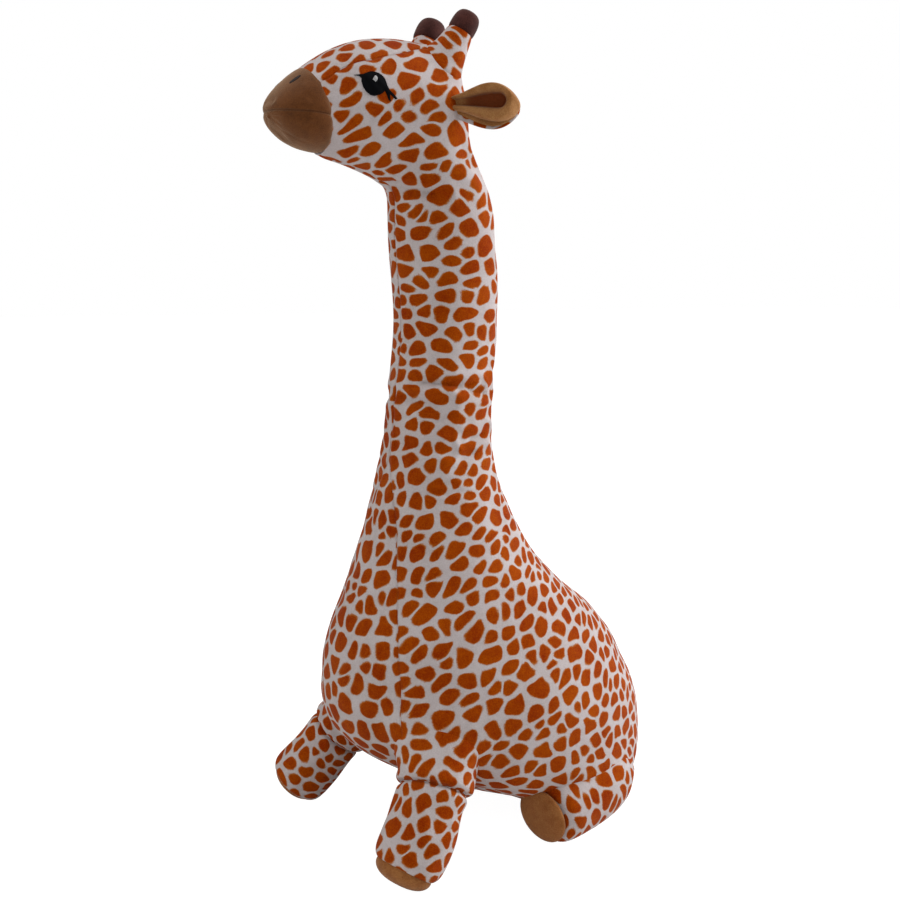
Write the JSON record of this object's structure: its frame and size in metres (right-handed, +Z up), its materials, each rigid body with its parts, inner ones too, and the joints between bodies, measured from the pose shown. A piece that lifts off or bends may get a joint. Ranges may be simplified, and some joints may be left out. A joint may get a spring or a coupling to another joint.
{
  "type": "plush giraffe",
  "caption": "Sitting plush giraffe with a long neck, a spotted pile fabric, tan muzzle and soles, folded ears and capped horns.",
  "frame": {"origin": "middle of the flat seat panel on the ground, under the rear of the body", "axes": "+Z up along the neck, the giraffe faces -Y, its left side is +X"},
  "size_m": [0.2402, 0.3295, 0.6414],
  "materials": {
    "spotted_plush": "matte",
    "tan_plush": "matte",
    "dark_brown_plush": "matte",
    "seat_fabric": "matte",
    "bag_fabric": "matte",
    "eye_thread": "satin"
  },
  "bodies": {
    "body": {"body": "spotted_plush", "seat_panel": "seat_fabric", "pellet_bag": "bag_fabric", "left_front_leg_upper": "spotted_plush", "right_front_leg_upper": "spotted_plush"},
    "neck": {"neck": "spotted_plush"},
    "head": {"head": "spotted_plush", "muzzle_upper": "tan_plush", "muzzle_lower": "tan_plush", "left_eye": "eye_thread", "right_eye": "eye_thread", "left_horn": "spotted_plush", "right_horn": "spotted_plush", "left_horn_tip": "dark_brown_plush", "right_horn_tip": "dark_brown_plush"},
    "left_ear": {"left_ear": "spotted_plush", "left_ear_lining": "tan_plush"},
    "right_ear": {"right_ear": "spotted_plush", "right_ear_lining": "tan_plush"},
    "left_front_leg": {"left_front_leg": "spotted_plush", "left_front_sole": "tan_plush"},
    "right_front_leg": {"right_front_leg": "spotted_plush", "right_front_sole": "tan_plush"},
    "left_hind_leg": {"left_hind_leg": "spotted_plush", "left_hind_sole": "tan_plush"},
    "right_hind_leg": {"right_hind_leg": "spotted_plush", "right_hind_sole": "tan_plush"},
    "tail": {"tail": "spotted_plush", "tail_tuft": "dark_brown_plush"}
  },
  "joints": [
    {"name": "neck_bend", "type": "hinge", "parent": "body", "child": "neck", "pos_m": [0, -0.10506, 0.325], "axis": [1, 0, 0], "range_deg": [-15, 20], "stiffness_Nm_per_rad": 6},
    {"name": "head_nod", "type": "hinge", "parent": "neck", "child": "head", "pos_m": [0, -0.10506, 0.47], "axis": [1, 0, 0], "range_deg": [-15, 20], "stiffness_Nm_per_rad": 4},
    {"name": "left_ear_sway", "type": "hinge", "parent": "head", "child": "left_ear", "pos_m": [0.03591, -0.11508, 0.56699], "axis": [0, 0, -1], "range_deg": [-10, 25], "stiffness_Nm_per_rad": 0.05},
    {"name": "right_ear_sway", "type": "hinge", "parent": "head", "child": "right_ear", "pos_m": [-0.03591, -0.11508, 0.56699], "axis": [0, 0, 1], "range_deg": [-10, 25], "stiffness_Nm_per_rad": 0.05},
    {"name": "left_front_leg_lift", "type": "hinge", "parent": "body", "child": "left_front_leg", "pos_m": [0.08094, -0.15732, 0.06255], "axis": [-0.9135, -0.4067, 0], "range_deg": [0, 35]},
    {"name": "right_front_leg_lift", "type": "hinge", "parent": "body", "child": "right_front_leg", "pos_m": [-0.08094, -0.15732, 0.06255], "axis": [-0.9135, 0.4067, 0], "range_deg": [0, 35]},
    {"name": "left_hind_leg_spread", "type": "hinge", "parent": "body", "child": "left_hind_leg", "pos_m": [0.07, 0.00697, 0.03768], "axis": [0, 0, 1], "range_deg": [0, 35]},
    {"name": "right_hind_leg_spread", "type": "hinge", "parent": "body", "child": "right_hind_leg", "pos_m": [-0.07, 0.00697, 0.03768], "axis": [0, 0, -1], "range_deg": [0, 35]},
    {"name": "tail_lift", "type": "hinge", "parent": "body", "child": "tail", "pos_m": [0, 0.06881, 0.1119], "axis": [1, 0, 0], "range_deg": [0, 60]}
  ]
}
